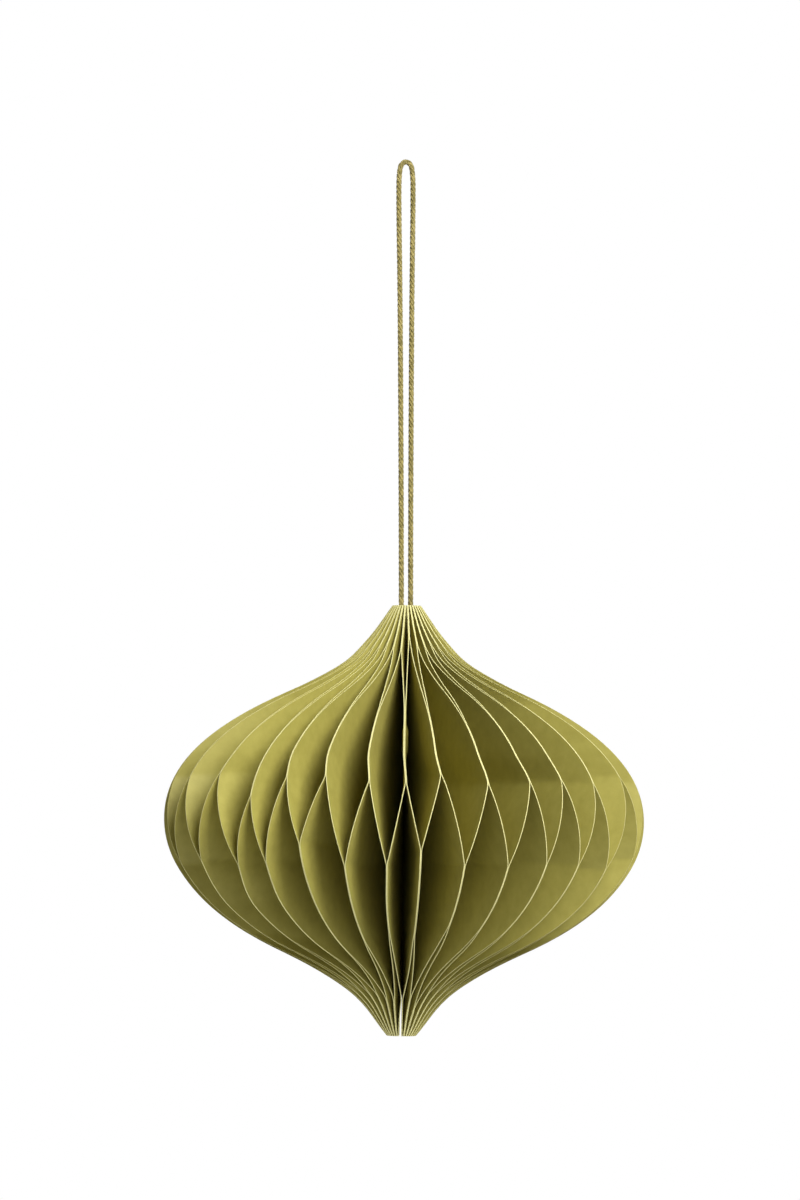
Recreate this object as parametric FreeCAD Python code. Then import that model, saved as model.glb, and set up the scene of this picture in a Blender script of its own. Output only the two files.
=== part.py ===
"""Paper drop ornament: half-drop paper leaves glued in level bands round a hollow core, on a cord loop.

Every leaf is the same die-cut sheet: a straight inner edge and a half-drop outline. Leaf pairs are
glued face to face along the first and third bands down from the top, and each pair is glued to its
neighbours along the second and fourth bands. Opened all the way round, the inner edges stand packed in a
ring and the cells between the leaves gape. The first and the last leaf are not glued: two disc
magnets, each let into a punched hole, hold that seam shut.

Frame: millimetres, +Z up, origin at the inside top of the cord loop, where a hook carries it. The seam
faces -Y, and the loop lies in the XZ plane.
"""
import FreeCAD
import Part
import math
import os

# The leaf sheet. Depths are measured from its straight inner edge, heights along that edge.
PAIR_COUNT = 37
LEAF_THICKNESS = 0.4
TOP_BAND_HEIGHT = 15.0
UPPER_FREE_HEIGHT = 25.1
UPPER_BAND_HEIGHT = 34.3
MIDDLE_FREE_HEIGHT = 32.6
LOWER_BAND_HEIGHT = 28.4
LOWER_FREE_HEIGHT = 28.5
BOTTOM_BAND_HEIGHT = 15.6
TOP_TIP_DEPTH = 1.3
TOP_TIP_FLARE = 0.72
TOP_NECK_DEPTH = 12.3
TOP_NECK_FLARE = 0.85
TOP_SHOULDER_DROP = 36.4
TOP_SHOULDER_DEPTH = 45.2
TOP_SHOULDER_FLARE = 2.15
BELLY_DEPTH = 95.0
BOTTOM_SHOULDER_RISE = 34.7
BOTTOM_SHOULDER_DEPTH = 46.4
BOTTOM_SHOULDER_FLARE = 2.0
BOTTOM_NECK_DEPTH = 14.4
BOTTOM_NECK_FLARE = 1.15
BOTTOM_TIP_DEPTH = 1.5
BOTTOM_TIP_FLARE = 0.75

# How the opened leaves stand round the core.
SPINE_CLEARANCE = 0.3
SEAM_ANGLE = 0.3
FRONT_ANGLE = -90.0

# The seam magnets, set in the second band.
MAGNET_DIAMETER = 6.0
MAGNET_THICKNESS = 1.0
MAGNET_DEPTH = 40.0
MAGNET_FIT = 0.05

# The cord, its loop over the hook and its knot in the core.
CORD_DIAMETER = 2.2
LOOP_HANG_HEIGHT = 184.1
KNOT_DROP = 16.0
KNOT_HEIGHT = 6.6
KNOT_CLEARANCE = 0.3
ARC_SHARE = 0.45

BODY_HEIGHT = (
    TOP_BAND_HEIGHT + UPPER_FREE_HEIGHT + UPPER_BAND_HEIGHT + MIDDLE_FREE_HEIGHT
    + LOWER_BAND_HEIGHT + LOWER_FREE_HEIGHT + BOTTOM_BAND_HEIGHT
)
BODY_TOP = -LOOP_HANG_HEIGHT
PAIR_ANGLE = (360.0 - SEAM_ANGLE) / PAIR_COUNT
HALF_PAIR = math.radians(PAIR_ANGLE) / 2
SPINE_RADIUS = LEAF_THICKNESS / HALF_PAIR + SPINE_CLEARANCE
LEG_END = BODY_TOP - KNOT_DROP

# Rim curves pass through points about this far apart in height.
RIM_STEP = 4.0

# The outline's stations: drop below the top, depth, and depth gained per millimetre of drop.
OUTLINE = [
    (0.0, TOP_TIP_DEPTH, TOP_TIP_FLARE),
    (TOP_BAND_HEIGHT, TOP_NECK_DEPTH, TOP_NECK_FLARE),
    (TOP_SHOULDER_DROP, TOP_SHOULDER_DEPTH, TOP_SHOULDER_FLARE),
    (BODY_HEIGHT / 2, BELLY_DEPTH, 0.0),
    (BODY_HEIGHT - BOTTOM_SHOULDER_RISE, BOTTOM_SHOULDER_DEPTH, -BOTTOM_SHOULDER_FLARE),
    (BODY_HEIGHT - BOTTOM_BAND_HEIGHT, BOTTOM_NECK_DEPTH, -BOTTOM_NECK_FLARE),
    (BODY_HEIGHT, BOTTOM_TIP_DEPTH, -BOTTOM_TIP_FLARE),
]

# The stretches down a leaf: height, and its swing at the top and bottom of that stretch. Swing is 0
# against the leaf's own pair and 1 against the neighbouring pair.
STRETCHES = [
    (TOP_BAND_HEIGHT, 0, 0),
    (UPPER_FREE_HEIGHT, 0, 1),
    (UPPER_BAND_HEIGHT, 1, 1),
    (MIDDLE_FREE_HEIGHT, 1, 0),
    (LOWER_BAND_HEIGHT, 0, 0),
    (LOWER_FREE_HEIGHT, 0, 1),
    (BOTTOM_BAND_HEIGHT, 1, 1),
]

# The cord's route over the loop, as (x, z): up one leg, round the hook and down the other.
HALF_ROUTE = [(1.92, LEG_END), (1.92, -150.0), (2.4, -56.0), (3.05, -13.0), (3.0, -0.66), (1.24, 1.1)]
CORD_ROUTE = [(-x, z) for x, z in HALF_ROUTE] + HALF_ROUTE[::-1]


def rim_radius(drop):
    """Distance of the leaf's rim from the axis, at a drop below the body's top."""
    for (start, depth, flare), (end, next_depth, next_flare) in zip(OUTLINE, OUTLINE[1:]):
        if drop <= end:
            break
    span = end - start
    t = (drop - start) / span
    return (
        SPINE_RADIUS
        + depth * (1 + 2 * t) * (1 - t) ** 2
        + next_depth * (3 - 2 * t) * t**2
        + span * (flare * t * (1 - t) ** 2 - next_flare * (1 - t) * t**2)
    )


def swing_at(drop, start, end, swing_top, swing_bottom):
    """Swing within one stretch. The rim keeps to a straight line, seen along the neighbour's glue plane."""
    if swing_top == swing_bottom:
        return float(swing_top)
    t = (drop - start) / (end - start)
    glued_end = start if swing_top == 0 else end
    gap_left = 1 - t if swing_top == 0 else t
    return min(1.0, max(0.0, 1 - gap_left * rim_radius(glued_end) / rim_radius(drop)))


def leaf_point(radius, drop, swing, face):
    """A point of the leaf on the positive side of a pair's glue plane. Face 0 faces its twin, 1 looks away."""
    angle = swing * HALF_PAIR
    offset = (face - swing) * LEAF_THICKNESS
    return FreeCAD.Vector(
        radius * math.cos(angle) - offset * math.sin(angle),
        radius * math.sin(angle) + offset * math.cos(angle),
        BODY_TOP - drop,
    )


def curve_down(points, drops):
    """One smooth edge through points, with the drop as its parameter."""
    curve = Part.BSplineCurve()
    curve.interpolate(Points=points, Parameters=drops)
    return curve.toShape()


def line(start, end):
    return Part.LineSegment(start, end).toShape()


def stretch_faces(start, height, swing_top, swing_bottom):
    """The four walls of a leaf within one stretch: both paper faces, the rim and the inner edge."""
    steps = max(2, round(height / RIM_STEP))
    drops = [start + height * i / steps for i in range(steps + 1)]
    swings = [swing_at(drop, start, start + height, swing_top, swing_bottom) for drop in drops]
    rims, spines = [], []
    for face in (0, 1):
        rim = [leaf_point(rim_radius(d), d, s, face) for d, s in zip(drops, swings)]
        spine = [leaf_point(SPINE_RADIUS, d, s, face) for d, s in zip(drops, swings)]
        rims.append(curve_down(rim, drops))
        spines.append(curve_down(spine, drops) if swing_top != swing_bottom else line(spine[0], spine[-1]))
    walls = [Part.makeRuledSurface(rims[0], rims[1]), Part.makeRuledSurface(spines[0], spines[1])]
    for rim, spine in zip(rims, spines):
        if swing_top != swing_bottom:
            walls.append(Part.makeRuledSurface(spine, rim))
            continue
        top = line(spine.Vertexes[0].Point, rim.Vertexes[0].Point)
        bottom = line(spine.Vertexes[-1].Point, rim.Vertexes[-1].Point)
        walls.append(Part.Face(Part.Wire([spine, bottom, rim, top])))
    return walls


def end_face(drop, swing):
    """The cut edge of a leaf at its top or bottom tip."""
    corners = [
        leaf_point(SPINE_RADIUS, drop, swing, 0),
        leaf_point(rim_radius(drop), drop, swing, 0),
        leaf_point(rim_radius(drop), drop, swing, 1),
        leaf_point(SPINE_RADIUS, drop, swing, 1),
    ]
    return Part.Face(Part.makePolygon(corners + corners[:1]))


def make_leaf():
    """The leaf on the positive side of a glue plane that stands at angle 0."""
    walls = [end_face(0.0, STRETCHES[0][1]), end_face(BODY_HEIGHT, STRETCHES[-1][2])]
    start = 0.0
    for height, swing_top, swing_bottom in STRETCHES:
        walls += stretch_faces(start, height, swing_top, swing_bottom)
        start += height
    shell = Part.Shell(walls)
    shell.sewShape()
    leaf = Part.Solid(shell)
    if leaf.Volume < 0:
        leaf.reverse()
    return leaf


def mirrored(shape):
    """The same shape on the other side of the glue plane at angle 0."""
    return shape.mirror(FreeCAD.Vector(0, 0, 0), FreeCAD.Vector(0, 1, 0))


def turned(shape, degrees):
    """A copy turned about the ornament's axis."""
    copy = shape.copy()
    copy.rotate(FreeCAD.Vector(0, 0, 0), FreeCAD.Vector(0, 0, 1), degrees)
    return copy


def magnet_disc(diameter, thickness):
    """A disc whose outer face lies on the leaf's seam face, for the leaf of make_leaf()."""
    drop = TOP_BAND_HEIGHT + UPPER_FREE_HEIGHT + UPPER_BAND_HEIGHT / 2
    centre = leaf_point(SPINE_RADIUS + MAGNET_DEPTH, drop, 1, 1)
    inward = FreeCAD.Vector(math.sin(HALF_PAIR), -math.cos(HALF_PAIR), 0)
    return Part.makeCylinder(diameter / 2, thickness, centre, inward)


def make_cord():
    """The cord as straight runs joined by tangent arcs, swept with a round section."""
    points = [FreeCAD.Vector(x, 0, z) for x, z in CORD_ROUTE]
    edges, here = [], points[0]
    for before, corner, after in zip(points, points[1:], points[2:]):
        shorter = min((corner - before).Length, (after - corner).Length)
        back = (before - corner).normalize()
        onward = (after - corner).normalize()
        half_turn = (math.pi - back.getAngle(onward)) / 2
        radius = ARC_SHARE * shorter / math.tan(half_turn)
        centre = corner + (back + onward).normalize() * (radius / math.cos(half_turn))
        middle = centre + (corner - centre).normalize() * radius
        arc_start = corner + back * (ARC_SHARE * shorter)
        arc_end = corner + onward * (ARC_SHARE * shorter)
        edges += [line(here, arc_start), Part.Arc(arc_start, middle, arc_end).toShape()]
        here = arc_end
        print(f"cord arc radius {radius:.2f} mm, turn {math.degrees(2 * half_turn):.2f} degrees")
    edges.append(line(here, points[-1]))
    path = Part.Wire(edges)
    section = Part.Wire(Part.makeCircle(CORD_DIAMETER / 2, points[0], FreeCAD.Vector(0, 0, 1)))
    print(f"cord centre line {path.Length:.1f} mm")
    return path.makePipeShell([section], True, True)


def make_knot():
    """The overhand knot of both cord ends as one ball that fills the core, flat above and below."""
    radius = SPINE_RADIUS - KNOT_CLEARANCE
    centre = FreeCAD.Vector(0, 0, LEG_END - KNOT_HEIGHT / 2)
    latitude = math.degrees(math.asin(KNOT_HEIGHT / 2 / radius))
    return Part.makeSphere(radius, centre, FreeCAD.Vector(0, 0, 1), -latitude, latitude, 360)


def leaf_pairs():
    """Every glued pair, by node name, in order round the axis from one side of the seam to the other."""
    leaf = make_leaf()
    twin = mirrored(leaf)
    hole = magnet_disc(MAGNET_DIAMETER + 2 * MAGNET_FIT, MAGNET_THICKNESS)
    first_angle = FRONT_ANGLE + SEAM_ANGLE / 2 + PAIR_ANGLE / 2
    pairs = {}
    for i in range(PAIR_COUNT):
        first = twin.cut(mirrored(hole)) if i == 0 else twin
        last = leaf.cut(hole) if i == PAIR_COUNT - 1 else leaf
        pair = Part.Compound([last, first])
        pairs[f"leaf_pair_{i + 1:02d}"] = turned(pair, first_angle + i * PAIR_ANGLE)
    return pairs


def seam_magnets():
    """The two discs, each let into the end leaf on its side of the seam."""
    magnet = magnet_disc(MAGNET_DIAMETER, MAGNET_THICKNESS)
    half_seam = SEAM_ANGLE / 2 + PAIR_ANGLE / 2
    return {
        "closing_magnet_right": turned(mirrored(magnet), FRONT_ANGLE + half_seam),
        "closing_magnet_left": turned(magnet, FRONT_ANGLE - half_seam),
    }


parts = leaf_pairs()
parts.update(seam_magnets())
parts["hanging_cord"] = make_cord()
parts["cord_knot"] = make_knot()

os.makedirs("parts", exist_ok=True)
for name, shape in parts.items():
    shape.exportStep(f"parts/{name}.step")
    print(f"{name}: {len(shape.Solids)} solids, {shape.Volume:.1f} mm3")
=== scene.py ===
"""The looks of the paper drop ornament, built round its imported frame.

Every glued pair of leaves is modelled again with the unevenness of hand-opened paper: cells that differ in
width, glue bands that end early or late, and a seam that gapes at the bottom. Lengths are millimetres until
a mesh is made; the frame and Blender are in metres.
"""

import math
import random

import bpy
import numpy as np
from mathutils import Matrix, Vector


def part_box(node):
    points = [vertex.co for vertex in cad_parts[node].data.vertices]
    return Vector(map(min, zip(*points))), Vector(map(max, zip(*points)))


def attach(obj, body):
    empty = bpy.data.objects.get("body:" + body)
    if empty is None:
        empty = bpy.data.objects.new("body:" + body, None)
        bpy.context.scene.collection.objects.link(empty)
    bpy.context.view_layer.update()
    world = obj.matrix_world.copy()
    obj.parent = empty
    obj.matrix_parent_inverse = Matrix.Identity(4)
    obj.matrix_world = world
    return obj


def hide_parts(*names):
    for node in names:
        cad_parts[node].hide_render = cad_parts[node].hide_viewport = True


MM = 0.001
RANDOM_SEED = 11

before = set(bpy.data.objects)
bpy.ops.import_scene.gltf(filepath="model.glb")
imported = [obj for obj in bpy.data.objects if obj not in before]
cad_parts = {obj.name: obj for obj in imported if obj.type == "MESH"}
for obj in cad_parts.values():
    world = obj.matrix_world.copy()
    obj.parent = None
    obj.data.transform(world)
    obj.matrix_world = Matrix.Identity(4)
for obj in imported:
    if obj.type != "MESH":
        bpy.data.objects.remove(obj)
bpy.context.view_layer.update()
PAIR_NODES = sorted(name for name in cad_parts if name.startswith("leaf_pair_"))
PAIR_COUNT = len(PAIR_NODES)
BODY_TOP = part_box(PAIR_NODES[0])[1].z / MM
BODY_HEIGHT = BODY_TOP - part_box(PAIR_NODES[0])[0].z / MM
BELLY_LEVEL = BODY_TOP - BODY_HEIGHT / 2

# The leaf sheet, as it is cut and glued. It is pressed a little thinner than the frame's, which leaves room
# round the core for the seam to gape. Glued leaves stand a hair apart, so that their meshes share no point.
LEAF_THICKNESS = 0.33
GLUE_GAP = 0.01
TOP_BAND_END = 16.5
UPPER_BAND = (43.0, 74.4)
LOWER_BAND = (107.0, 135.4)
BOTTOM_BAND_START = 161.5
# The leaves' inner edges, as (drop, radius). They leave room for the knot at the top and meet below it, so
# that no light passes between them until the seam gapes.
SPINE = [(17.5, 5.01), (22.0, 3.8), (165.0, 3.8), (170.0, 5.01)]
SEAM_ANGLE = math.radians(0.3)
FRONT_ANGLE = math.radians(-90.0)
PLANE_STEP = (2 * math.pi - SEAM_ANGLE) / PAIR_COUNT / 2
LAST_PLANE = 2 * PAIR_COUNT

# The outline's stations: drop below the top, radius, and radius gained per millimetre of drop.
OUTLINE = [
    (0.0, 6.0, 0.72),
    (15.0, 17.0, 0.9),
    (26.0, 29.0, 1.65),
    (36.4, 49.0, 2.25),
    (BODY_HEIGHT / 2, 100.4, 0.0),
    (112.0, 93.5, -0.65),
    (BODY_HEIGHT - 34.7, 51.6, -2.15),
    (BODY_HEIGHT - 15.6, 19.4, -1.15),
    (BODY_HEIGHT, 6.1, -0.9),
]

# The cord and its route over the loop, as (distance to either side, height). The loop hangs a little to the
# right of the axis.
CORD_DIAMETER = 2.2
CORD_SHIFT = 0.4
HALF_ROUTE = [(1.92, -200.1), (1.92, -150.0), (2.4, -56.0), (3.05, -13.0), (2.75, -0.6), (0.95, 1.75)]
CORD_ROUTE = [(CORD_SHIFT - x, z) for x, z in HALF_ROUTE] + [(CORD_SHIFT + x, z) for x, z in HALF_ROUTE[::-1]]

# The closing magnets' discs, as the frame holds them.
MAGNET_NODES = ("closing_magnet_right", "closing_magnet_left")
MAGNET_LOW, MAGNET_HIGH = (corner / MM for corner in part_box(MAGNET_NODES[0]))
MAGNET_REACH = -(MAGNET_LOW.y + MAGNET_HIGH.y) / 2
MAGNET_DROP = BODY_TOP - (MAGNET_LOW.z + MAGNET_HIGH.z) / 2
MAGNET_RADIUS = (MAGNET_HIGH.z - MAGNET_LOW.z) / 2
MAGNET_THICKNESS = 1.0

# The body hangs a little out of plumb, turned about the line through the magnets.
BODY_LEAN = math.radians(0.73)

# The camera, level with the belly and a little to the left of the seam.
CAMERA_DISTANCE = 2000.0
FRAME_HEIGHT = 502.5
FRAME_MIDDLE = -181.7
CAMERA_SIDE = -2.1


def rim_radius(drop):
    """Distance of the rim from the axis at each drop, smooth from station to station."""
    drop = np.clip(drop, 0, BODY_HEIGHT)
    radius = np.zeros_like(drop)
    for (start, near, flare), (end, far, next_flare) in zip(OUTLINE, OUTLINE[1:]):
        span = end - start
        t = np.clip((drop - start) / span, 0, 1)
        value = (
            near * (1 + 2 * t) * (1 - t) ** 2 + far * (3 - 2 * t) * t**2
            + span * (flare * t * (1 - t) ** 2 - next_flare * (1 - t) * t**2)
        )
        radius = np.where(drop >= start, value, radius)
    return radius


# ---------------------------------------------------------------- unevenness

def signed_place(plane):
    """How many cells a glue plane stands to the right of the seam; negative to the left."""
    return plane / 2 if plane <= PAIR_COUNT else (plane - LAST_PLANE) / 2


# The planes round the front that hands have set unevenly, by their place. Each has its lean in degrees from
# an even spacing at the belly, its lean away from the belly, and the drops between which it is glued.
UPPER_PLANES = {
    -8: (-12.0, -11.5, 45.0, 74.5),
    -7: (-12.5, -12.0, 46.0, 73.0),
    -6: (-7.5, -7.5, 49.0, 72.5),
    -5: (-3.0, -2.0, 52.0, 71.5),
    -4: (0.5, 0.5, 53.0, 81.0),
    -3: (0.0, -1.0, 49.0, 73.0),
    -2: (0.5, -0.5, 45.0, 72.5),
    -1: (1.5, 0.5, 46.0, 74.5),
    0: (0.3, -0.25, 45.0, 75.0),
    1: (-1.0, -2.0, 46.0, 71.5),
    2: (0.5, -0.5, 50.5, 75.0),
    3: (2.0, 0.5, 46.0, 74.0),
    4: (2.0, 1.0, 46.0, 73.0),
    5: (3.5, 3.5, 44.0, 74.0),
    6: (9.5, 9.0, 42.0, 70.5),
    7: (14.5, 14.0, 43.0, 73.5),
    8: (14.0, 13.5, 44.0, 75.0),
}
LOWER_PLANES = {
    -7.5: (-13.0, -12.5, 107.5, 136.0),
    -6.5: (-11.0, -11.5, 109.0, 137.0),
    -5.5: (-5.5, -7.5, 107.0, 137.0),
    -4.5: (-0.5, -3.5, 108.5, 139.0),
    -3.5: (-1.0, -2.0, 107.0, 144.5),
    -2.5: (-0.5, -0.5, 99.5, 145.0),
    -1.5: (0.5, 0.5, 108.0, 139.5),
    -0.5: (1.0, 0.5, 107.5, 135.5),
    0.5: (-1.0, -1.0, 101.5, 136.5),
    1.5: (0.0, 0.0, 107.5, 132.5),
    2.5: (1.5, 1.5, 107.5, 134.5),
    3.5: (2.5, 2.5, 106.5, 135.5),
    4.5: (3.5, 3.5, 107.0, 133.5),
    5.5: (6.5, 7.5, 109.0, 133.5),
    6.5: (13.5, 13.5, 105.0, 134.0),
    7.5: (15.0, 14.5, 107.0, 135.0),
}
# Single bands at the two ends, by their plane's place: where a top one ends and where a bottom one starts.
TOP_BAND_ENDS = {-1.5: 18.0, -0.5: 19.0, 0.5: 14.5, 1.5: 17.0, 2.5: 18.0}
BOTTOM_BAND_STARTS = {-2: 164.0, -1: 164.5, 0: 164.5, 1: 163.0, 2: 167.0}
# The drops between which a plane changes its lean. It starts with the one at the top and ends with the one at
# the bottom. In between an upper plane has first its lean away from the belly and then the one at the belly,
# and a lower plane has them the other way round.
UPPER_STATIONS = (18.0, 42.0, 62.0, 75.0, 138.0, 158.0)
LOWER_STATIONS = (18.0, 42.0, 107.0, 127.0, 138.0, 158.0)
TOP_LEAN = -0.8
BOTTOM_LEAN = 0.5
# Away from the front the leaves' ends lean too, by this share of the lean at the belly.
SPREAD_START = 3
SPREAD_END = 9
END_SPREAD = 0.6
# The planes past the hand-set ones return to even spacing at the back, give or take this many degrees.
LEAN_JITTER = 0.35
LAST_HAND_SET = 8
# The two leaves at the seam curl together near the rim: the power of that curl, and how near they come to the
# seam's middle.
SEAM_CURL = 5
SEAM_CLEARANCE = 0.03
# How far the ends of a band may stand from their drops. The second is for the end of a middle band that is
# the farther one from the belly.
BAND_JITTER = 0.5
SOFT_BAND_JITTER = 2.2

# The seam gapes over the bottom band, and one cell at the back does too: how wide, and how far to the right.
SEAM_GAPE = 0.85
SEAM_DRIFT = -0.5
BACK_GAPE = 0.8
BACK_DRIFT = -0.25
GAPE_START = 162.5

# The foot stands this much lower than the frame's, stretched over the height of the gape.
FOOT_STRETCH = 0.55


def plane_leans(rng):
    """The lean of every glue plane at its stations, in radians."""
    leans = []
    for plane in range(LAST_PLANE + 1):
        place = signed_place(plane)
        jitter = rng.uniform(-LEAN_JITTER, LEAN_JITTER)
        if place in UPPER_PLANES or place in LOWER_PLANES:
            belly, away = {**UPPER_PLANES, **LOWER_PLANES}[place][:2]
        else:
            last = UPPER_PLANES[math.copysign(LAST_HAND_SET, place)][0]
            left = (PAIR_COUNT / 2 - abs(place)) / (PAIR_COUNT / 2 - LAST_HAND_SET)
            belly = away = last * left + jitter
        spread = np.interp(abs(place), (SPREAD_START, SPREAD_END), (0, END_SPREAD)) * belly
        top, bottom = (end * (1 - 2 * abs(place) / PAIR_COUNT) + spread for end in (TOP_LEAN, BOTTOM_LEAN))
        if plane % 2:
            values = (top, belly, belly, away, away, bottom)
        else:
            values = (top, away, away, belly, belly, bottom)
        leans.append((LOWER_STATIONS if plane % 2 else UPPER_STATIONS, np.radians(values)))
    return leans


def lean_at(lean, drops):
    """A plane's lean at each drop, easing out of one station and into the next."""
    stations, values = lean
    order = np.arange(len(stations))
    position = np.interp(drops, stations, order)
    step = position % 1
    return np.interp(position - step + step * step * (3 - 2 * step), order, values)


def plane_bands(rng):
    """Where every plane's glue bands start and end, as drops."""
    bands = []
    for plane in range(LAST_PLANE + 1):
        place = signed_place(plane)
        firm = [rng.uniform(-BAND_JITTER, BAND_JITTER) for _ in range(2)]
        soft = rng.uniform(-SOFT_BAND_JITTER, SOFT_BAND_JITTER)
        if plane % 2:
            start, end = LOWER_PLANES.get(place, (0, 0, LOWER_BAND[0] + firm[1], LOWER_BAND[1] + soft))[2:]
            bands.append((TOP_BAND_ENDS.get(place, TOP_BAND_END + firm[0]), start, end))
        else:
            start, end = UPPER_PLANES.get(place, (0, 0, UPPER_BAND[0] + soft, UPPER_BAND[1] + firm[0]))[2:]
            bands.append((start, end, BOTTOM_BAND_STARTS.get(place, BOTTOM_BAND_START + firm[1])))
    return bands


def share_of_gape(drops):
    """0 down to where the seam starts to gape, rising to 1 at the foot."""
    return np.clip((drops - GAPE_START) / (BODY_HEIGHT - GAPE_START), 0, 1)


def gape_shift(plane, drops):
    """Sideways shift of a plane near the bottom, in millimetres, where the seam and the back stand open."""
    below = share_of_gape(drops)
    opened = below * (2 - below)
    right = (SEAM_DRIFT + SEAM_GAPE / 2, -BACK_DRIFT - BACK_GAPE / 2)
    left = (SEAM_DRIFT - SEAM_GAPE / 2, -BACK_DRIFT + BACK_GAPE / 2)
    to_back = min(plane, LAST_PLANE - plane) / (PAIR_COUNT - 1)
    if plane == PAIR_COUNT:
        return opened * (right[1] + left[1]) / 2
    front, back = right if plane < PAIR_COUNT else left
    return opened * (front + (back - front) * to_back)


# ---------------------------------------------------------------- pieces

def add_piece(name, verts, faces, materials):
    """A smooth mesh of its own in the scene."""
    mesh = bpy.data.meshes.new(name)
    mesh.from_pydata(verts, [], faces)
    for material in materials:
        mesh.materials.append(material)
    mesh.shade_smooth()
    piece = bpy.data.objects.new(name, mesh)
    bpy.context.scene.collection.objects.link(piece)
    return piece


# ---------------------------------------------------------------- leaves

# The rows of a leaf's mesh, in millimetres of drop, with rows of their own round each bend, which is rolled
# over a short height.
ROW_STEP = 2.6
BEND_ROWS = (-1.6, -0.8, 0.0, 0.8, 1.6)
BEND_SOFTNESS = 0.9
BEND_SAMPLES = 7
ROW_CLEARANCE = 0.5
# The range of a free stretch's bow from a straight run between its two bands.
LEAF_EASE = (-0.12, 0.2)
CREASE_ANGLE = math.radians(40)
# The columns, from the inner edge at 0 to the rim at 1.
COLUMNS = (0.0, 0.12, 0.3, 0.48, 0.64, 0.78, 0.89, 1.0)
# Over a magnet the paper swells: the skin left over its disc, the margin round it, how far the swell runs
# out, and the extra rows and columns that carry it.
COVER_SKIN = 0.13
COVER_MARGIN = 0.2
COVER_SLOPE = 5.0
COVER_ROWS = tuple(MAGNET_DROP + step for step in np.linspace(-8.4, 8.4, 21))
COVER_COLUMNS = tuple(np.linspace(0.38, 0.66, 25))


def swings(drops, own, neighbour, ease):
    """0 where a leaf lies on its own pair's plane, 1 where it lies on the neighbour's, at each drop."""
    own_top_end, own_start, own_end = own
    side_start, side_end, side_bottom = neighbour
    gap = np.ones_like(drops)
    free = [(own_top_end, side_start, True), (side_end, own_start, False), (own_end, side_bottom, True)]
    for start, end, leaving in free:
        t = np.clip((drops - start) / (end - start), 0, 1)
        opened = t + ease * t * (1 - t)
        glued_radius = rim_radius(start if leaving else end)
        left = (1 - opened) * glued_radius if leaving else opened * glued_radius
        inside = (drops > start) & (drops < end)
        gap = np.where(inside, left / rim_radius(drops), gap)
    on_side = ((drops >= side_start) & (drops <= side_end)) | (drops >= side_bottom)
    gap = np.where(on_side, 0.0, gap)
    return 1 - np.clip(gap, 0, 1)


def soft_swings(drops, own, neighbour, ease):
    """The same with every bend rolled over a short height."""
    shifts = np.linspace(-BEND_SOFTNESS, BEND_SOFTNESS, BEND_SAMPLES)
    return sum(swings(drops + shift, own, neighbour, ease) for shift in shifts) / len(shifts)


def leaf_rows(own, neighbour, extra=()):
    """The drops at which a leaf is sampled: even steps, with more round each bend."""
    bends = [*own, *neighbour]
    rows = list(np.linspace(0, BODY_HEIGHT, round(BODY_HEIGHT / ROW_STEP) + 1))
    rows = [row for row in rows if all(abs(row - bend) > BEND_ROWS[-1] + ROW_CLEARANCE for bend in bends)]
    rows += [bend + shift for bend in bends for shift in BEND_ROWS]
    rows += [0.0, BODY_HEIGHT, *extra]
    return np.unique(np.round(rows, 3))


def directions(angles):
    """Unit vectors outward and sideways at each angle."""
    out = np.stack([np.cos(angles), np.sin(angles), np.zeros_like(angles)], 1)
    side = np.stack([-np.sin(angles), np.cos(angles), np.zeros_like(angles)], 1)
    return out, side


def leaf_surface(own_plane, side_plane, leans, bands, ease, face):
    """A grid of points, rows by columns, of one face of a leaf. Face 0 faces its twin."""
    at_seam = side_plane in (0, LAST_PLANE)
    rows = leaf_rows(bands[own_plane], bands[side_plane], COVER_ROWS if at_seam else ())
    share = np.array(sorted(COLUMNS + (COVER_COLUMNS if at_seam else ())))[None, :, None]
    swing = soft_swings(rows, bands[own_plane], bands[side_plane], ease)
    turn = 1 if side_plane > own_plane else -1
    offset = turn * ((face - swing) * LEAF_THICKNESS + (0.5 - swing) * GLUE_GAP)[:, None]
    radius = rim_radius(rows)
    ends = []
    for reach, leaning in ((np.interp(rows, *zip(*SPINE)), 0), (radius, 1)):
        planes = []
        for plane in (own_plane, side_plane):
            even = FRONT_ANGLE + SEAM_ANGLE / 2 + plane * PLANE_STEP
            planes.append(even + leaning * lean_at(leans[plane], rows) + gape_shift(plane, rows) / reach)
        out, side = directions(planes[0] + (planes[1] - planes[0]) * swing)
        point = out * reach[:, None] + side * offset
        point[:, 2] = BODY_TOP - rows - FOOT_STRETCH * share_of_gape(rows)
        ends.append(point)
    grid = ends[0][:, None, :] * (1 - share) + ends[1][:, None, :] * share
    if at_seam:
        curl = lean_at(leans[side_plane], rows) * radius * swing
        closing = turn * (SEAM_ANGLE / 2 * radius - SEAM_CLEARANCE) * swing
        curled = share**SEAM_CURL
        sideways = curl[:, None, None] * (curled - share) + closing[:, None, None] * curled
        sideways = sideways + turn * cover_height(grid, face)[:, :, None]
        grid = grid + side[:, None, :] * sideways
    return grid


def cover_height(grid, face):
    """How far the paper stands off over the magnet that it covers, away from the leaf's own twin."""
    reach = np.hypot(grid[:, :, 0], grid[:, :, 1])
    away = np.hypot(reach - MAGNET_REACH, grid[:, :, 2] - BODY_TOP + MAGNET_DROP)
    t = np.clip((MAGNET_RADIUS + COVER_SLOPE - away) / (COVER_SLOPE - COVER_MARGIN), 0, 1)
    raised = t * t * (3 - 2 * t)
    return raised * (COVER_SKIN if face else LEAF_THICKNESS - MAGNET_THICKNESS - COVER_SKIN)


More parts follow.
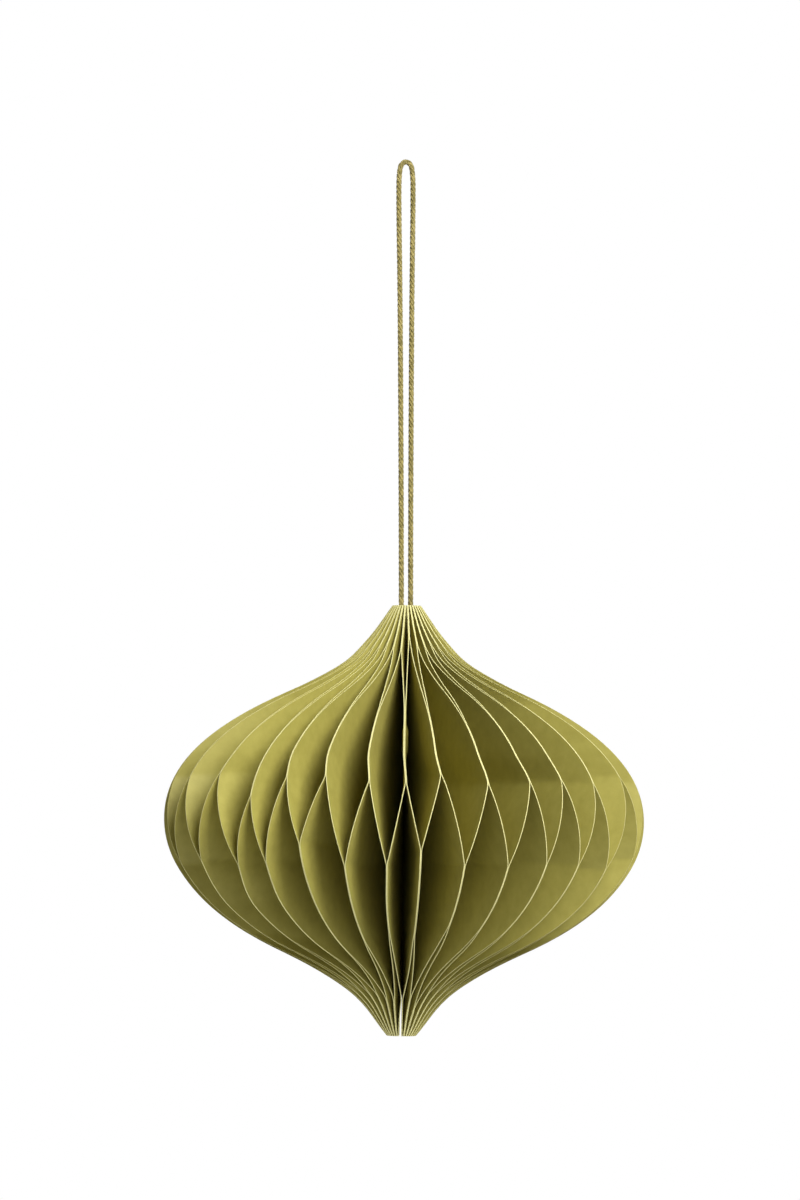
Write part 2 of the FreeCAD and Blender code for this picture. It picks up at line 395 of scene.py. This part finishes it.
def lean_body(grid):
    """Turns points with the whole body, which hangs a little out of plumb."""
    pivot = BODY_TOP - MAGNET_DROP
    x, height = grid[..., 0].copy(), grid[..., 2] - pivot
    grid[..., 0] = x * math.cos(BODY_LEAN) + height * math.sin(BODY_LEAN)
    grid[..., 2] = pivot - x * math.sin(BODY_LEAN) + height * math.cos(BODY_LEAN)
    return grid


def add_leaf(verts, faces, slots, inner, outer):
    """Adds one closed leaf: two paper faces, and the cut edge all round."""
    rows, columns = inner.shape[:2]
    base = len(verts)
    for grid in (inner, outer):
        verts.extend((lean_body(grid).reshape(-1, 3) * MM).tolist())
    second = rows * columns

    def at(layer, row, column):
        return base + layer * second + row * columns + column

    for row in range(rows - 1):
        for column in range(columns - 1):
            quad = [(row, column), (row, column + 1), (row + 1, column + 1), (row + 1, column)]
            faces.append([at(0, *spot) for spot in quad[::-1]])
            faces.append([at(1, *spot) for spot in quad])
            slots.extend((0, 0))
        for column in (0, columns - 1):
            ring = [at(0, row, column), at(0, row + 1, column), at(1, row + 1, column), at(1, row, column)]
            faces.append(ring if column else ring[::-1])
            slots.append(1)
    for row in (0, rows - 1):
        for column in range(columns - 1):
            ring = [at(0, row, column), at(0, row, column + 1), at(1, row, column + 1), at(1, row, column)]
            faces.append(ring if row == 0 else ring[::-1])
            slots.append(1)


def make_pair(number, leans, bands, rng, materials):
    """One glued pair of leaves as a piece, in place of its frame node."""
    own_plane = 2 * number + 1
    verts, faces, slots = [], [], []
    for side_plane in (own_plane - 1, own_plane + 1):
        ease = rng.uniform(*LEAF_EASE)
        inner, outer = (leaf_surface(own_plane, side_plane, leans, bands, ease, face) for face in (0, 1))
        if side_plane < own_plane:
            inner, outer = outer, inner
        add_leaf(verts, faces, slots, inner, outer)
    piece = add_piece(f"paper_leaves_{number + 1:02d}", verts, faces, materials)
    piece.data.polygons.foreach_set("material_index", slots)
    piece.data.set_sharp_from_angle(angle=CREASE_ANGLE)
    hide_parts(PAIR_NODES[number])
    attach(piece, "root")


def make_leaves(materials):
    """All the glued pairs, which share one run of random draws."""
    rng = random.Random(RANDOM_SEED)
    leans = plane_leans(rng)
    bands = plane_bands(rng)
    for number in range(PAIR_COUNT):
        make_pair(number, leans, bands, rng, materials)


# ---------------------------------------------------------------- cord

# The strands, in millimetres, and the swelling of their slubs as a share of the radius.
STRANDS = 4
TWIST_PITCH = 9.0
STEPS_PER_PITCH = 24
STRAND_RADIUS = 0.5
STRAND_REACH = 0.64
STRAND_SIDES = 9
SLUB_STEP = 6.0
SLUB_SWELL = 0.06
# The loose fibres: their number, size and lift off the cord, how far they turn and droop, and how deep they
# are rooted.
FIBRES = 1500
FIBRE_RADIUS = 0.012
FIBRE_LENGTH = (0.6, 1.7)
FIBRE_LIFT = (0.1, 0.5)
FIBRE_TURN = 0.9
FIBRE_DROOP = 0.3
FIBRE_DEPTH = 0.14
FIBRE_STATIONS = (0.0, 0.35, 0.7, 1.0)
FIBRE_SIDES = 3
ROUTE_RESOLUTION = 40
PATH_STRIDE = 4
KNOT_TIGHTNESS = 0.95
KNOT_STEPS = 145
KNOT_SIDES = 12


def route_points():
    """Points along the smooth line of the cord's route, in metres."""
    curve = bpy.data.curves.new("route", "CURVE")
    curve.dimensions = "3D"
    curve.resolution_u = ROUTE_RESOLUTION
    spline = curve.splines.new("NURBS")
    spline.points.add(len(CORD_ROUTE) - 1)
    for point, (x, z) in zip(spline.points, CORD_ROUTE):
        point.co = (x * MM, 0, z * MM, 1)
    spline.order_u = 3
    spline.use_endpoint_u = True
    holder = bpy.data.objects.new("route", curve)
    bpy.context.scene.collection.objects.link(holder)
    bpy.context.view_layer.update()
    mesh = bpy.data.meshes.new_from_object(holder)
    points = np.array([v.co for v in mesh.vertices], float)
    bpy.data.objects.remove(holder)
    bpy.data.meshes.remove(mesh)
    bpy.data.curves.remove(curve)
    return points


def evenly(points, step):
    """The same line resampled at an even step."""
    lengths = np.r_[0, np.cumsum(np.linalg.norm(np.diff(points, axis=0), axis=1))]
    stations = np.linspace(0, lengths[-1], max(2, round(lengths[-1] / step)) + 1)
    return np.stack([np.interp(stations, lengths, points[:, i]) for i in range(3)], 1), stations


def tangents_of(points):
    """Unit vectors along a line at each of its points."""
    tangents = np.gradient(points, axis=0)
    return tangents / np.linalg.norm(tangents, axis=1)[:, None]


def tube(points, radius, sides, verts, faces, fixed=(0.0, 1.0, 0.0)):
    """Adds a closed round tube along points that never run along the fixed direction. The radius may vary."""
    radius = np.broadcast_to(radius, len(points))[:, None]
    tangents = tangents_of(points)
    across = np.cross(tangents, np.array(fixed))
    across /= np.linalg.norm(across, axis=1)[:, None]
    up = np.cross(across, tangents)
    base = len(verts)
    for i in range(sides):
        angle = 2 * math.pi * i / sides
        ring = points + (across * math.cos(angle) + up * math.sin(angle)) * radius
        verts.extend(ring.tolist())
    count = len(points)
    for i in range(sides):
        a, b = base + i * count, base + ((i + 1) % sides) * count
        faces.extend([a + j, a + j + 1, b + j + 1, b + j] for j in range(count - 1))
    faces.append([base + i * count for i in range(sides)])
    faces.append([base + i * count + count - 1 for i in range(sides)][::-1])


def add_fibres(line, across, front, rng, verts, faces):
    """Loose fibre ends that stand off the cord, each a thin closed tube."""
    for _ in range(FIBRES):
        i = rng.randrange(2, len(line) - 2)
        angle, turn = rng.uniform(0, 2 * math.pi), rng.uniform(-FIBRE_TURN, FIBRE_TURN)
        length, lift = rng.uniform(*FIBRE_LENGTH), rng.uniform(*FIBRE_LIFT)
        along = np.cross(across[i], front[i]) * rng.choice((-1, 1))
        points = []
        for t in FIBRE_STATIONS:
            a = angle + turn * t
            out = across[i] * math.cos(a) + front[i] * math.sin(a)
            reach = CORD_DIAMETER / 2 - FIBRE_DEPTH + lift * t * (2 - t)
            points.append(line[i] + (out * reach + along * length * t * (1 - FIBRE_DROOP * t)) * MM)
        tube(np.array(points), FIBRE_RADIUS * MM, FIBRE_SIDES, verts, faces)


def make_cord(material):
    """The loop of soft cotton cord: strands twisted one way, a little uneven, with loose fibre ends."""
    line, stations = evenly(route_points(), TWIST_PITCH / STEPS_PER_PITCH * MM)
    tangents = tangents_of(line)
    front = np.tile(np.array([0.0, 1.0, 0.0]), (len(line), 1))
    across = np.cross(tangents, front)
    rng = random.Random(RANDOM_SEED)
    travel = 2 * math.pi * stations / (TWIST_PITCH * MM)
    slubs = np.arange(0, stations[-1] / MM + SLUB_STEP, SLUB_STEP)
    verts, faces = [], []
    for strand in range(STRANDS):
        swell = np.interp(stations / MM, slubs, [rng.uniform(-SLUB_SWELL, SLUB_SWELL) for _ in slubs])
        angle = travel + 2 * math.pi * strand / STRANDS
        points = line + (across * np.cos(angle)[:, None] + front * np.sin(angle)[:, None]) * STRAND_REACH * MM
        tube(points, STRAND_RADIUS * MM * (1 + swell), STRAND_SIDES, verts, faces)
    add_fibres(line, across, front, rng, verts, faces)
    piece = add_piece("cotton_cord", verts, faces, [material])
    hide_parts("hanging_cord")
    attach(piece, "root")
    path = line[::PATH_STRIDE]
    if tuple(path[-1]) != tuple(line[-1]):
        path = np.vstack([path, line[-1]])
    length = float(stations[-1])
    exit_point = (CORD_ROUTE[0][0] * MM, 0.0, BODY_TOP * MM)
    return piece, path, length, exit_point


def make_knot(material):
    """The knot inside the core, a tight trefoil of the same cord."""
    low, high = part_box("cord_knot")
    middle = (low + high) / 2
    radius = CORD_DIAMETER / 2 * MM * KNOT_TIGHTNESS
    reach = ((high - low).x / 2 - radius) / 3
    height = (high - low).z / 2 - radius
    turns = np.linspace(0, 2 * math.pi, KNOT_STEPS)
    points = np.stack([
        middle.x + CORD_SHIFT * MM + reach * (np.sin(turns) + 2 * np.sin(2 * turns)),
        middle.y + reach * (np.cos(turns) - 2 * np.cos(2 * turns)),
        middle.z - height * np.sin(3 * turns),
    ], 1)
    verts, faces = [], []
    tube(points, radius, KNOT_SIDES, verts, faces, fixed=(0.0, 0.0, 1.0))
    piece = add_piece("core_knot", verts, faces, [material])
    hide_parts("cord_knot")
    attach(piece, "root")
    return piece


# ---------------------------------------------------------------- materials

def new_material(name):
    """A node material, with what is needed to fill it."""
    material = bpy.data.materials.new(name)
    material.use_nodes = True
    nodes = material.node_tree.nodes
    return material, nodes, material.node_tree.links, nodes["Principled BSDF"]


def noise(nodes, links, coordinates, scale, detail, roughness=0.5):
    """A noise from 0 to 1; the higher the scale, the finer it is."""
    texture = nodes.new("ShaderNodeTexNoise")
    texture.inputs["Scale"].default_value = scale
    texture.inputs["Detail"].default_value = detail
    texture.inputs["Roughness"].default_value = roughness
    links.new(coordinates, texture.inputs["Vector"])
    return texture.outputs["Fac"]


def blend_colours(nodes, links, share, low, high, low_at=0.3, high_at=0.7):
    """The low colour where the share is small, the high one where it is large."""
    ramp = nodes.new("ShaderNodeValToRGB")
    ramp.color_ramp.elements[0].position = low_at
    ramp.color_ramp.elements[1].position = high_at
    ramp.color_ramp.elements[0].color = (*low, 1)
    ramp.color_ramp.elements[1].color = (*high, 1)
    links.new(share, ramp.inputs["Fac"])
    return ramp.outputs["Color"]


def multiply(nodes, links, first, second):
    """One colour darkened by another."""
    mix = nodes.new("ShaderNodeMix")
    mix.data_type = "RGBA"
    mix.blend_type = "MULTIPLY"
    mix.inputs[0].default_value = 1.0
    links.new(first, mix.inputs[6])
    links.new(second, mix.inputs[7])
    return mix.outputs[2]


def bump(nodes, links, height, shader, strength, distance):
    """Fine relief on a material. The distance is in millimetres."""
    node = nodes.new("ShaderNodeBump")
    node.inputs["Strength"].default_value = strength
    node.inputs["Distance"].default_value = distance * MM
    links.new(height, node.inputs["Height"])
    links.new(node.outputs["Normal"], shader.inputs["Normal"])


# Each material's two tones, the tint of its grain, and the scales of its noises.
PAPER_LIGHT = (0.465, 0.417, 0.094)
PAPER_DARK = (0.41, 0.362, 0.075)
PAPER_GRAIN = (0.93, 0.93, 0.90)
PAPER_CLOUD_SCALE = 220
PAPER_FIBRE_SCALE = 2600
EDGE_LIGHT = (0.90, 0.85, 0.40)
EDGE_DARK = (0.80, 0.75, 0.33)
EDGE_FIBRE_SCALE = 600
# The cotton's dark tone is a shaded copy of its lit one: painted shade, laid over the cord in random patches.
COTTON_LIT_TONE = (0.51, 0.42, 0.155)
COTTON_SHADED_TONE = (0.27, 0.225, 0.072)
COTTON_GRAIN = (0.72, 0.72, 0.68)
COTTON_SHADE_PATCH_SCALE = 700
COTTON_FIBRE_SCALE = 5200
PLATE_LIGHT = (0.68, 0.67, 0.63)
PLATE_DARK = (0.55, 0.54, 0.50)
PLATE_SMEAR_SCALE = 900
WHITE = (1.0, 1.0, 1.0)


def paper_material():
    """Uncoated dyed card: a faint cloudy formation and fine fibres."""
    material, nodes, links, shader = new_material("olive_card")
    place = nodes.new("ShaderNodeTexCoord").outputs["Object"]
    cloud = noise(nodes, links, place, PAPER_CLOUD_SCALE, detail=3)
    fibre = noise(nodes, links, place, PAPER_FIBRE_SCALE, detail=4, roughness=0.7)
    tone = blend_colours(nodes, links, cloud, PAPER_DARK, PAPER_LIGHT)
    grain = blend_colours(nodes, links, fibre, PAPER_GRAIN, WHITE)
    links.new(multiply(nodes, links, tone, grain), shader.inputs["Base Color"])
    shader.inputs["Roughness"].default_value = 0.6
    shader.inputs["Specular IOR Level"].default_value = 0.5
    bump(nodes, links, fibre, shader, strength=0.25, distance=0.08)
    return material


def edge_material():
    """The cut edge of the card, where its pale core shows."""
    material, nodes, links, shader = new_material("card_cut_edge")
    place = nodes.new("ShaderNodeTexCoord").outputs["Object"]
    fibre = noise(nodes, links, place, EDGE_FIBRE_SCALE, detail=3, roughness=0.6)
    tone = blend_colours(nodes, links, fibre, EDGE_DARK, EDGE_LIGHT)
    links.new(tone, shader.inputs["Base Color"])
    shader.inputs["Roughness"].default_value = 0.9
    shader.inputs["Specular IOR Level"].default_value = 0.2
    return material


def cotton_material():
    """Matt cotton yarn with painted shade in random patches, and paler fibres."""
    material, nodes, links, shader = new_material("cotton_yarn")
    place = nodes.new("ShaderNodeTexCoord").outputs["Object"]
    shade_patches = noise(nodes, links, place, COTTON_SHADE_PATCH_SCALE, detail=3, roughness=0.6)
    fibre = noise(nodes, links, place, COTTON_FIBRE_SCALE, detail=3, roughness=0.7)
    # Painted shade: random patches take the shaded copy of the cotton's lit tone.
    tone = blend_colours(nodes, links, shade_patches, COTTON_SHADED_TONE, COTTON_LIT_TONE, low_at=0.38, high_at=0.62)
    grain = blend_colours(nodes, links, fibre, COTTON_GRAIN, WHITE)
    links.new(multiply(nodes, links, tone, grain), shader.inputs["Base Color"])
    shader.inputs["Roughness"].default_value = 0.95
    shader.inputs["Specular IOR Level"].default_value = 0.1
    shader.inputs["Sheen Weight"].default_value = 0.25
    bump(nodes, links, fibre, shader, strength=0.6, distance=0.1)
    return material


def magnet_material():
    """Nickel plate, a little smeared."""
    material, nodes, links, shader = new_material("nickel_plate")
    place = nodes.new("ShaderNodeTexCoord").outputs["Object"]
    smear = noise(nodes, links, place, PLATE_SMEAR_SCALE, detail=3)
    tone = blend_colours(nodes, links, smear, PLATE_DARK, PLATE_LIGHT)
    links.new(tone, shader.inputs["Base Color"])
    shader.inputs["Metallic"].default_value = 1.0
    shader.inputs["Roughness"].default_value = 0.28
    return material


def dress_magnets(material):
    """The two discs keep their frame shape and take a plated finish."""
    for name in MAGNET_NODES:
        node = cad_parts[name]
        node.data.materials.clear()
        node.data.materials.append(material)


# ---------------------------------------------------------------- camera, light and floor

# The camera's sensor in millimetres, and the distances in metres between which it sees.
SENSOR_WIDTH = 36.0
CLIP_START, CLIP_END = 0.05, 30.0

WORLD_STRENGTH = 0.045
WHITE_LIGHT = (1, 1, 1, 1)

# The floor's distance below the foot in millimetres, its half width in metres, and its colour.
FLOOR_DROP = 700.0
FLOOR_REACH = 4.0
FLOOR_GREY = (0.85, 0.85, 0.85, 1)


def make_camera():
    """A camera square on to the seam, with a shift that frames the body and its loop."""
    camera = bpy.data.cameras.new("camera")
    camera.sensor_width = SENSOR_WIDTH
    camera.lens = camera.sensor_width * CAMERA_DISTANCE / FRAME_HEIGHT
    camera.shift_y = (FRAME_MIDDLE - BELLY_LEVEL) / FRAME_HEIGHT
    camera.clip_start, camera.clip_end = CLIP_START, CLIP_END
    holder = bpy.data.objects.new("camera", camera)
    holder.location = Vector((CAMERA_SIDE, -CAMERA_DISTANCE, BELLY_LEVEL)) * MM
    holder.rotation_euler = (math.radians(90), 0, 0)
    bpy.context.scene.collection.objects.link(holder)
    bpy.context.scene.camera = holder


def make_light(name, azimuth, elevation, distance, size, power):
    """A square softbox that looks at the body. Azimuth is degrees to the right of the camera."""
    light = bpy.data.lights.new(name, "AREA")
    light.shape = "SQUARE"
    light.size = size
    light.energy = power
    a, e = math.radians(azimuth), math.radians(elevation)
    away = Vector((math.sin(a) * math.cos(e), -math.cos(a) * math.cos(e), math.sin(e)))
    holder = bpy.data.objects.new(name, light)
    holder.location = Vector((0, 0, BELLY_LEVEL * MM)) + away * distance
    holder.rotation_euler = away.to_track_quat("Z", "Y").to_euler()
    bpy.context.scene.collection.objects.link(holder)


def seen_directly(nodes, links):
    """1 for rays from the camera, mirrors and glass, 0 for rays that carry light."""
    path = nodes.new("ShaderNodeLightPath")
    first = nodes.new("ShaderNodeMath")
    first.operation = "MAXIMUM"
    links.new(path.outputs["Is Camera Ray"], first.inputs[0])
    links.new(path.outputs["Is Glossy Ray"], first.inputs[1])
    second = nodes.new("ShaderNodeMath")
    second.operation = "MAXIMUM"
    links.new(first.outputs[0], second.inputs[0])
    links.new(path.outputs["Is Transmission Ray"], second.inputs[1])
    return second.outputs[0]


def make_world():
    """A faint even fill, and plain white where it is seen directly."""
    world = bpy.data.worlds.new("studio")
    bpy.context.scene.world = world
    world.use_nodes = True
    nodes, links = world.node_tree.nodes, world.node_tree.links
    nodes.clear()
    fill = nodes.new("ShaderNodeBackground")
    fill.inputs["Color"].default_value = WHITE_LIGHT
    fill.inputs["Strength"].default_value = WORLD_STRENGTH
    white = nodes.new("ShaderNodeBackground")
    white.inputs["Color"].default_value = WHITE_LIGHT
    mix = nodes.new("ShaderNodeMixShader")
    output = nodes.new("ShaderNodeOutputWorld")
    links.new(seen_directly(nodes, links), mix.inputs[0])
    links.new(fill.outputs[0], mix.inputs[1])
    links.new(white.outputs[0], mix.inputs[2])
    links.new(mix.outputs[0], output.inputs["Surface"])


def make_floor():
    """A pale floor far below the hanging body, white where it is seen directly."""
    material, nodes, links, shader = new_material("studio_floor")
    shader.inputs["Base Color"].default_value = FLOOR_GREY
    shader.inputs["Roughness"].default_value = 0.9
    glow = nodes.new("ShaderNodeEmission")
    glow.inputs["Color"].default_value = WHITE_LIGHT
    mix = nodes.new("ShaderNodeMixShader")
    links.new(seen_directly(nodes, links), mix.inputs[0])
    links.new(shader.outputs[0], mix.inputs[1])
    links.new(glow.outputs[0], mix.inputs[2])
    links.new(mix.outputs[0], nodes["Material Output"].inputs["Surface"])
    mesh = bpy.data.meshes.new("floor")
    level = (BODY_TOP - BODY_HEIGHT - FLOOR_DROP) * MM
    corners = [(x * FLOOR_REACH, y * FLOOR_REACH, level) for x, y in ((-1, -1), (1, -1), (1, 1), (-1, 1))]
    mesh.from_pydata(corners, [], [(0, 1, 2, 3)])
    mesh.materials.append(material)
    floor = bpy.data.objects.new("floor", mesh)
    bpy.context.scene.collection.objects.link(floor)


bpy.context.scene.view_settings.view_transform = "Standard"
make_camera()
cotton = cotton_material()
cord, cord_path, cord_length, cord_exit = make_cord(cotton)
knot = make_knot(cotton)
make_leaves([paper_material(), edge_material()])
dress_magnets(magnet_material())
make_light("key", azimuth=29, elevation=35, distance=1.6, size=0.8, power=29.3)
make_light("front", azimuth=20, elevation=10, distance=1.6, size=0.8, power=3.8)
make_light("side", azimuth=-100, elevation=5, distance=1.6, size=1.0, power=9)
make_light("back", azimuth=180, elevation=45, distance=1.6, size=1.0, power=13.5)
make_world()
make_floor()
